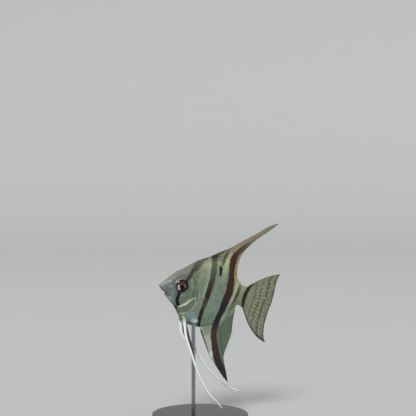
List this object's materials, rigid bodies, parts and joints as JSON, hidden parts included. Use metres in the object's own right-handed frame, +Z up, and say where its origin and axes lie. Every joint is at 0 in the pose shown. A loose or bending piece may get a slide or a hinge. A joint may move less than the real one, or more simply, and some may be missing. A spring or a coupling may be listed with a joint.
{
  "type": "freshwater angelfish on a display stand",
  "caption": "Life-size still model of a silver barred freshwater angelfish with long fins and feelers, held by a rod on a flat round base.",
  "frame": {"origin": "centre of the underside of the stand's round base", "axes": "+Z up, the fish faces -X with its left side towards -Y, its axis tipped 17 degrees head up in the XZ plane"},
  "size_m": [0.0866, 0.06, 0.1224],
  "materials": {
    "skin": "silvery grey-green scaled skin with dark upright bars, moist satin",
    "fin": "rayed membrane, dark brown bands on greenish clear, satin",
    "feeler": "bluish-white ray with a brown web behind its upper part, satin",
    "eye": "black pupil in a red-brown iris under a clear glossy cornea",
    "rod": "satin brushed",
    "base": "black cast acrylic, satin top and polished edge"
  },
  "bodies": {
    "root": {"head": "skin", "lower_jaw": "skin", "gill_cover_left": "skin", "gill_cover_right": "skin", "trunk": "skin", "tail_stalk": "skin", "dorsal_fin": "fin", "anal_fin": "fin", "tail_fin": "fin", "pectoral_fin_left": "fin", "pectoral_fin_right": "fin", "pelvic_fin_left": "feeler", "pelvic_fin_right": "feeler", "eye_left": "eye", "eye_right": "eye", "stand_base": "base", "stand_rod": "rod"}
  },
  "joints": []
}
